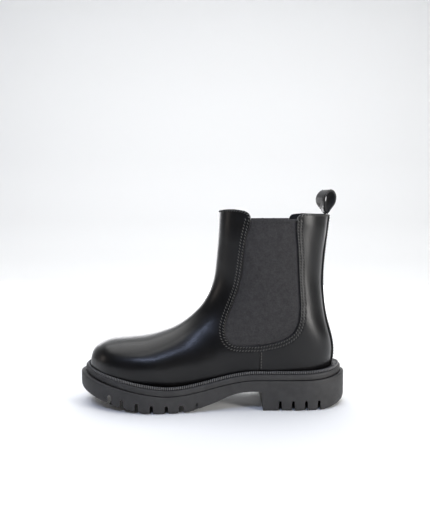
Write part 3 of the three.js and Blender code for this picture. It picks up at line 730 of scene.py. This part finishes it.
LAP, GORE_INSET, WARP_PITCH, WEFT_PITCH = 7, 0.3, 0.62, 1.1
elastic = Finish("woven_elastic", Roughness=0.85)
warp = (elastic.along(0) * (2 * math.pi / WARP_PITCH)).sine()
weft = (elastic.along(2) * (2 * math.pi / WEFT_PITCH) + warp * 0.7).sine()
loops = warp * 0.35 + weft * 0.35 + 0.5
tone = loops * 0.3 + elastic.noise(1.6, detail=3) * 0.4 + elastic.noise(5, detail=2) * 0.3
elastic.feed("Base Color", elastic.blend(tone.ramp(0.32, 0.68), (0.009, 0.0085, 0.009),
                                         (0.042, 0.040, 0.041)))
elastic.relief(loops + elastic.noise(1.6, detail=3), 0.2)
TAPE, TAPE_DROP = (-1.35, -3.25), 0.3
for side, half in ((-1, "lateral"), (1, "medial")):
    gore = panel("elastic_" + half, elastic, *MIDDLE, [below(GORE_TOP)], (inset(gore_edge, -LAP),), side)
    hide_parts("gore_" + half)
    tape_edges = [below(GORE_TOP + 3), above(GORE_TOP - TAPE_DROP)]
    tape = panel("elastic_binding_" + half, elastic, *TAPE, tape_edges, (inset(gore_edge, GORE_INSET),), side,
                 rings=(0.15, 0.5, 1), rolled=0.9)
    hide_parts("gore_tape_" + half)

# ---- Backstay ---------------------------------------------------------------------------------------------
# A strip of the same calf down the back of the heel, 19 mm wide. It covers the seam between the quarters
# and is sewn down along both its edges.

HALF_STRIP, STRIP_TOP, STRIP_FOOT, STRIP_ROW, STRIP_FACE = 9.5, 159.5, 3.4, 2, 1.45


def from_strip_edge(place):
    return HALF_STRIP - np.abs(last_point(place)[:, 1])


def at_the_back(place):
    return from_side(place)[0] - 80


def strip_furrow(place, nearest):
    return -0.14 * np.exp(-((nearest - STRIP_ROW) / 0.5) ** 2)


backstay = panel("back_strip", calf, STRIP_FACE, 0.1, [from_strip_edge, below(STRIP_TOP)],
                 (above(STRIP_FOOT), at_the_back), rings=(0.1, 0.3, 0.6, 1.4, 2, 2.6), raise_by=strip_furrow)
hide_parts("backstay")

# ---- Stitching --------------------------------------------------------------------------------------------
# Waxed black thread, each stitch a short slanted bar sunk in the leather: two rows round each gore, one along
# the collar, one beside each side seam and two down the back strip.

waxed = Finish("waxed_thread", Roughness=0.5)
strand = waxed.noise(0.35, detail=3)
waxed.feed("Base Color", waxed.blend(strand, (0.03, 0.03, 0.027), (0.095, 0.092, 0.084)))
waxed.relief(strand, 0.08)
PITCH, STITCH, GIRTH, SINK, SLANT = 3.0, 2.3, 0.5, 0.35, 0.75
REACH = (-1, -0.9, -0.6, 0, 0.6, 0.9, 1)
TAPER = (0.15, 0.6, 0.92, 1, 0.92, 0.6, 0.15)
ring = np.linspace(0, 2 * math.pi, 9)[:-1]


def stitches(name, rows, body="boot", slant=SLANT):
    """Stitches along rows of points, each given with the way the leather faces there."""
    points, faces = [], []
    for row, facings in rows:
        run = np.concatenate([[0], np.cumsum(np.linalg.norm(np.diff(row, axis=0), axis=1))])
        for at in np.arange(PITCH / 2, run[-1], PITCH):
            before, spot, after = (np.array([np.interp(place, run, row[:, k]) for k in range(3)])
                                   for place in (at - 0.5, at, at + 0.5))
            ahead = after - before
            up = np.array([np.interp(at, run, facings[:, k]) for k in range(3)])
            up /= np.linalg.norm(up)
            ahead -= up * (ahead @ up)
            ahead /= np.linalg.norm(ahead)
            across = np.cross(up, ahead)
            c, s = math.cos(slant), math.sin(slant)
            ahead, across = ahead * c + across * s, across * c - ahead * s
            start = len(points)
            for r, w in zip(REACH, TAPER):
                middle = spot + ahead * r * STITCH / 2 - up * SINK * r * r
                points += [middle + (across * math.cos(a) + up * math.sin(a)) * GIRTH * w for a in ring]
            for level in range(len(REACH) - 1):
                for k in range(8):
                    a, b = start + level * 8 + k, start + level * 8 + (k + 1) % 8
                    faces.append([a, b, b + 8, a + 8])
            last_ring = start + 8 * (len(REACH) - 1)
            faces += [list(range(start + 7, start - 1, -1)), list(range(last_ring, last_ring + 8))]
    made = piece(name, np.array(points), faces, waxed.material, body)
    return made


def moved(disc, by):
    """How far a move in mm is on the disc."""
    right = (last_point(disc + (STEP, 0)) - last_point(disc - (STEP, 0))) / (2 * STEP)
    over = (last_point(disc + (0, STEP)) - last_point(disc - (0, STEP))) / (2 * STEP)
    aa, bb, ab = (right * right).sum(1), (over * over).sum(1), (right * over).sum(1)
    pa, pb = (right * by).sum(1), (over * by).sum(1)
    whole_area = aa * bb - ab * ab
    return np.stack([(bb * pa - ab * pb) / whole_area, (aa * pb - ab * pa) / whole_area], axis=1)


PROUD, STEPS = 0.22, 4


def beside(edge, side, away, keep):
    """A row that runs away mm inside an edge, for the places that keep allows."""
    disc = edge.disc[side]
    along = np.gradient(last_point(disc), axis=0)
    inward = np.cross(facing(last_point, disc), along)
    inward /= np.linalg.norm(inward, axis=1)[:, None]
    if np.median(edge(disc + moved(disc, inward * 0.5))) < 0:
        inward = -inward
    for _ in range(STEPS):
        disc = disc + moved(disc, inward * away / STEPS)
    wanted = keep(from_side(disc)[1]) & (np.abs(disc[:, 1]) > 0)
    if away > 0:
        wanted &= edge(disc) > away - 0.25
    disc = disc[wanted]
    return skin(disc, PROUD), facing(last_point, disc)


def round_gore(up):
    return up < 158.5


def along_collar(up):
    return up > 158


def low_seam(up):
    return (up < SEAM_TOP[1] - FURROWS[1] - 1) & (up > 3.8)


down_back = np.linspace(0.3, 1, 400)
rise = from_side(np.stack([-down_back, 0 * down_back], axis=1))[1]
up_the_strip = np.interp(np.linspace(6, 157, 160), rise[200:], down_back[200:])
for side, half in ((-1, "lateral"), (1, "medial")):
    gore_rows = [beside(gore_edge, side, -row, round_gore) for row in FURROWS]
    gore_stitches = stitches("gore_stitches_" + half, gore_rows)
    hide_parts("gore_thread_" + half)
    seam_row = beside(quarter_edge, side, FURROWS[0], low_seam)
    seam_stitches = stitches("seam_stitches_" + half, [seam_row], slant=0)
    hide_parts("side_seam_thread_" + half)
    collar = stitches("collar_stitches_" + half, [beside(quarter_edge, side, FURROWS[0], along_collar)])
    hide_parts("topline_thread_" + half)
    angle = np.full(len(up_the_strip), math.pi - 0.22)
    for attempt in range(9):
        disc = up_the_strip[:, None] * np.stack([np.cos(angle), np.sin(angle) * side], axis=1)
        if attempt < 8:
            angle += (np.abs(last_point(disc)[:, 1]) - (HALF_STRIP - STRIP_ROW)) / 36
    back_row = (skin(disc, STRIP_FACE), facing(last_point, disc))
    back_stitches = stitches("back_strip_stitches_" + half, [back_row])
    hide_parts("backstay_thread_" + half)

front_rows = [beside(vamp_edge, side, FURROWS[0], along_collar) for side in (-1, 1)]
front_stitches = stitches("collar_stitches_front", front_rows)
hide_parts("topline_thread_front")

# ---- Welt -------------------------------------------------------------------------------------------------
# A moulded rubber strip round the foot of the upper, cemented on top of the midsole. Its outer edge is
# ribbed like a coarse file, with a channel behind the ribs. A highlight is painted on the crests, and
# shade is painted in the valleys and the channel.

RIB_PITCH, PER_RIB, WELT_SETBACK, LEDGE = 1.9, 8, 1.2, 0.6
RIBBED_EDGE = ((0.6, 0, 0.3, 0), (0.1, 1.0, 0.45, 0), (0, 1.2, 0.9, 0), (0, 1.2, 2.4, 0),
               (0.15, 1.1, 2.9, 0.5), (0.5, 0.9, 3.2, 1.1), (1.2, 0.3, 3.3, 1.2), (1.8, 0, 3.2, 0.9),
               (2.2, 0, 2.9, 0))
CHANNEL = ((0.8, 2.1), (0.4, 1.6), (0.1, 1.5), (0.1, 0.3))
# How much painted highlight each level of the section gets on the crests, from the bottom up.
CREST_HIGHLIGHT = (0.25, 0.8, 1, 1, 1, 1, 0.7, 0.45, 0.25, 0.1, 0.05, 0, 0)


def girdle(up, off, count):
    """The last's outline at a height over the sole line, off mm out from it, once round from the toe."""
    t = np.linspace(0.001, 0.8, 6000)
    front = from_side(np.stack([t, 0 * t], axis=1))[1]
    back = from_side(np.stack([-t, 0 * t], axis=1))[1]
    spans = t[(front >= up) & (back <= up)]
    spans = spans[0] + (spans[-1] - spans[0]) * (1 - np.cos(np.linspace(0, math.pi, 700))) / 2
    share = (np.interp(spans, t, front) - up) / (np.interp(spans, t, front) - np.interp(spans, t, back))
    angle = np.arccos(np.clip(1 - 2 * share, -1, 1))
    halves = [np.stack([spans * np.cos(angle), side * spans * np.sin(angle)], axis=1) for side in (-1, 1)]
    ring = skin(np.concatenate([halves[0], halves[1][::-1]]), off)
    return spread(np.concatenate([ring, ring[:1]]), count=count + 1)[:-1]


outer = plan(-overhang - WELT_SETBACK)
outer = np.concatenate([outer, outer[:1]])
ribs = round(np.linalg.norm(np.diff(outer, axis=0), axis=1).sum() / RIB_PITCH)
outer = spread(outer, count=ribs * PER_RIB + 1)[:-1]
foot = girdle(2.2, 0.1, 1800)[:, :2]
nearest_foot = np.array([((foot - spot) ** 2).sum(1).argmin() for spot in outer])
inward = foot[nearest_foot] - outer
width = np.linalg.norm(inward, axis=1)
inward /= width[:, None]
rib_phase = 2 * math.pi * (np.arange(len(outer)) + 0.5) / PER_RIB
between_ribs = 1 - np.clip(0.5 + 0.9 * np.sin(rib_phase), 0, 1)
room = np.minimum(1, (width - 0.3) / 3.2)
section = []
for inset_by, valley, height, dip in RIBBED_EDGE:
    section.append(((LEDGE + inset_by + valley * between_ribs) * room, height - dip * between_ribs))
for from_foot, height in CHANNEL:
    section.append((np.maximum(width - from_foot, (LEDGE + 2.4) * room), height))
points = []
for inset_by, height in section:
    spot = outer + inward * np.reshape(inset_by, (-1, 1))
    points.append(np.column_stack([spot, sole_line(spot[:, 0]) + height]))
number = np.arange(len(section) * len(outer)).reshape(len(section), len(outer))
above_it, beside_it = np.roll(number, -1, axis=0), np.roll(number, -1, axis=1)
both_next = np.roll(above_it, -1, axis=1)
faces = np.stack([number, beside_it, both_next, above_it], axis=-1).reshape(-1, 4).tolist()
ribbed = Finish("ribbed_rubber", Specular_IOR_Level=0.5)
crest = ribbed.node("ShaderNodeAttribute", {"attribute_name": "crest"}, out="Fac")
# The crest attribute paints a highlight on the ribs and painted shade between them: crests far paler than the
# rubber, valleys and channel near black. Noise makes the painted highlight patchy.
patchy_highlight = ribbed.noise(6, detail=4).ramp(0.2, 0.8) * 0.3 + 0.7
ribbed.feed("Base Color", ribbed.blend(crest * patchy_highlight, (0.004, 0.004, 0.005), (0.16, 0.158, 0.155)))
ribbed.feed("Roughness", 0.62 - 0.22 * crest)
ribbed.relief(ribbed.noise(0.45, detail=3), 0.04)
welt = sharpened(piece("ribbed_welt", np.concatenate(points), faces, ribbed.material), 60)
# Painted highlight strength: full on the ribs' outer faces, none in the valleys and the channel, which keep
# the painted shade.
crest_highlight = np.array(CREST_HIGHLIGHT)[:, None] * (1 - between_ribs)[None, :]
welt.data.attributes.new("crest", "FLOAT", "POINT").data.foreach_set("value", crest_highlight.ravel().astype(np.float32))
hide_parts("welt")

# ---- Footbed and sock -------------------------------------------------------------------------------------
# A soft foam footbed lies loose on the insole board. A thin textile sock is glued over it and closes the
# inside of the boot.

FOOTBED = ((6.2, 2.85), (5.3, 3.2), (5, 4.2), (5, 6.3), (5.4, 7.1), (6.6, 7.45), (11, 7.5))
SOCK = ((5.6, 7.8), (4.9, 8.0), (4.7, 8.4), (4.9, 8.7), (5.6, 8.8), (12, 8.75))


def laid(name, layers, finish):
    """A pad inside the boot, from layers of inset and height over the sole line."""
    rings = []
    for inside, height in layers:
        ring = girdle(max(height, 2.4), -inside, 480)[:, :2]
        rings.append((ring, sole_line(ring[:, 0]) + height))
    return piece(name, *stacked(rings), finish.material)


footbed = laid("foam_footbed", FOOTBED, foam)
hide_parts("footbed")
sock = laid("textile_sock", SOCK, textile)
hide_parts("sock_lining")

# ---- Pull tab ---------------------------------------------------------------------------------------------
# A strap of calf with a textile inner face, 20 mm wide and 2.2 mm thick. It is sewn along both edges, folded
# into a loop and fixed over the back of the collar, where it bends.

pivot = np.array(next(joint for joint in frame["joints"] if joint["child"] == "tab")["pos_m"]) / MM
TAB_LINE = [(0, -2.6), (-2.8, 0.2), (-6.6, 7.6), (-6.2, 15), (0.6, 20.4), (6.2, 16.6), (6.2, 9), (2.9, 1.2),
            (0, -2.6)]
LOOP_SCALE, LEAN, EDGE_ROW = (0.88, 0.98), 0.3, 7.9
loop_curve = knotted(np.arange(9), np.array(TAB_LINE), np.linspace(0, 8, 900), closed=True)
loop = spread(loop_curve, count=161)[:-1] * LOOP_SCALE
way = np.roll(loop, -1, axis=0) - np.roll(loop, 1, axis=0)
way /= np.linalg.norm(way, axis=1)[:, None]
out_of_loop = np.stack([-way[:, 1], way[:, 0]], axis=1)
if (out_of_loop * (loop - loop.mean(0))).sum() < 0:
    out_of_loop = -out_of_loop
half_face = [(0, 1.1), (5, 1.1), (7.2, 1.08), (EDGE_ROW, 0.98), (8.6, 1.08), (9.3, 1.02), (9.8, 0.75),
             (10, 0.35), (9.8, 0.04)]
around_strap = half_face + [(y, -n) for y, n in half_face[::-1]]
around_strap += [(-y, n) for y, n in around_strap[::-1]][1:-1]


def on_strap(y, n):
    """Points round the whole loop, y mm across the strap and n mm out of it. The loop has settled a little
    to one side, more so towards its top."""
    x, z = (loop + out_of_loop * n).T
    turn = LEAN * smooth(-1, 8, z)
    return np.stack([pivot[0] + x * np.cos(turn) - y * np.sin(turn),
                     x * np.sin(turn) + y * np.cos(turn), pivot[2] + z], axis=1)


points = np.stack([on_strap(y, n) for y, n in around_strap], axis=1).reshape(-1, 3)
number = np.arange(len(points)).reshape(len(loop), len(around_strap))
next_station, next_corner = np.roll(number, -1, axis=0), np.roll(number, -1, axis=1)
both_next = np.roll(next_station, -1, axis=1)
faces = np.stack([number, next_station, both_next, next_corner], axis=-1).reshape(-1, 4).tolist()
pull_tab = piece("pull_strap", points, faces, calf.material, "tab")
pull_tab.data.materials.append(textile.material)
inner_face = range(len(half_face), 3 * len(half_face) - 3)
for polygon in pull_tab.data.polygons:
    polygon.material_index = int(polygon.index % len(around_strap) in inner_face)
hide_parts("pull_tab")
rows = []
for y in (-EDGE_ROW, EDGE_ROW):
    base, tip = on_strap(y, 1.05), on_strap(y, 2.05)
    rows.append((base, tip - base))
stitches("pull_strap_stitches", rows, "tab")

# ---- Studio ---------------------------------------------------------------------------------------------
# A pale sweep of paper lies under the boot and rises behind it. Soft lights stand round it, and the camera
# looks slightly down from the lateral side.

LENS, SENSOR, DOWNWARD = 45.04, 36, 4.47
studio = bpy.context.scene
studio.view_settings.view_transform = "Standard"
camera_data = bpy.data.cameras.new("camera")
camera_data.lens = LENS
camera_data.sensor_width = SENSOR
camera = bpy.data.objects.new("camera", camera_data)
studio.collection.objects.link(camera)
camera.location = (0.0032, -0.680, 0.2062)
camera.rotation_euler = (math.radians(90 - DOWNWARD), 0, 0)
camera_data.clip_start = 0.01
studio.camera = camera

world = bpy.data.worlds.new("world")
studio.world = world
world.use_nodes = True
background = world.node_tree.nodes["Background"]
background.inputs["Color"].default_value = (0.97, 0.98, 1, 1)
background.inputs["Strength"].default_value = 0.12

paper = Finish("paper_sweep", Roughness=0.9)
paper.shader.inputs["Base Color"].default_value = (0.875, 0.88, 0.875, 1)
sweep_line = [(-2.0, 0), (1.2, 0), (1.5, 0.03), (1.8, 0.15), (2.0, 0.4), (2.1, 0.8), (2.1, 3.0)]
sweep_points = [(x, y, z) for y, z in sweep_line for x in (-3, 3)]
sweep_faces = [[2 * i, 2 * i + 1, 2 * i + 3, 2 * i + 2] for i in range(len(sweep_line) - 1)]
sweep = piece("paper", np.array(sweep_points) / MM, sweep_faces, paper.material, body=None)


def softbox(name, spot, aim, size, watts, colour=(1, 1, 1)):
    """A soft rectangular light at a spot, aimed at another."""
    data = bpy.data.lights.new(name, "AREA")
    data.shape = "RECTANGLE"
    data.size, data.size_y = size
    data.energy = watts
    data.color = colour
    made = bpy.data.objects.new(name, data)
    studio.collection.objects.link(made)
    made.location = spot
    made.visible_camera = False
    made.rotation_mode = "QUATERNION"
    made.rotation_quaternion = (Vector(aim) - Vector(spot)).to_track_quat("-Z", "Y")


softbox("overhead", (0, 0.75, 1.7), (0, 0.25, 0), (2.8, 1.5), 30)
softbox("backdrop", (0, -0.4, 2.6), (0, 2.1, 0.6), (3, 0.8), 25)
softbox("vamp_strip", (-0.45, -1.15, 1.45), (-0.05, 0, 0.08), (1.1, 0.2), 11, (0.6, 0.7, 1))
softbox("heel_side", (1.2, -0.93, 0.4), (0.09, 0, 0.13), (0.42, 0.9), 18, (1, 0.98, 0.95))
softbox("toe_side", (-1.7, 0.1, 0.5), (-0.1, 0, 0.1), (0.4, 0.6), 1.3, (1, 0.88, 0.8))
softbox("low_back", (0.1, 1.0, 0.22), (0.03, 0, 0.0), (1.6, 0.4), 6, (0.98, 0.97, 1))
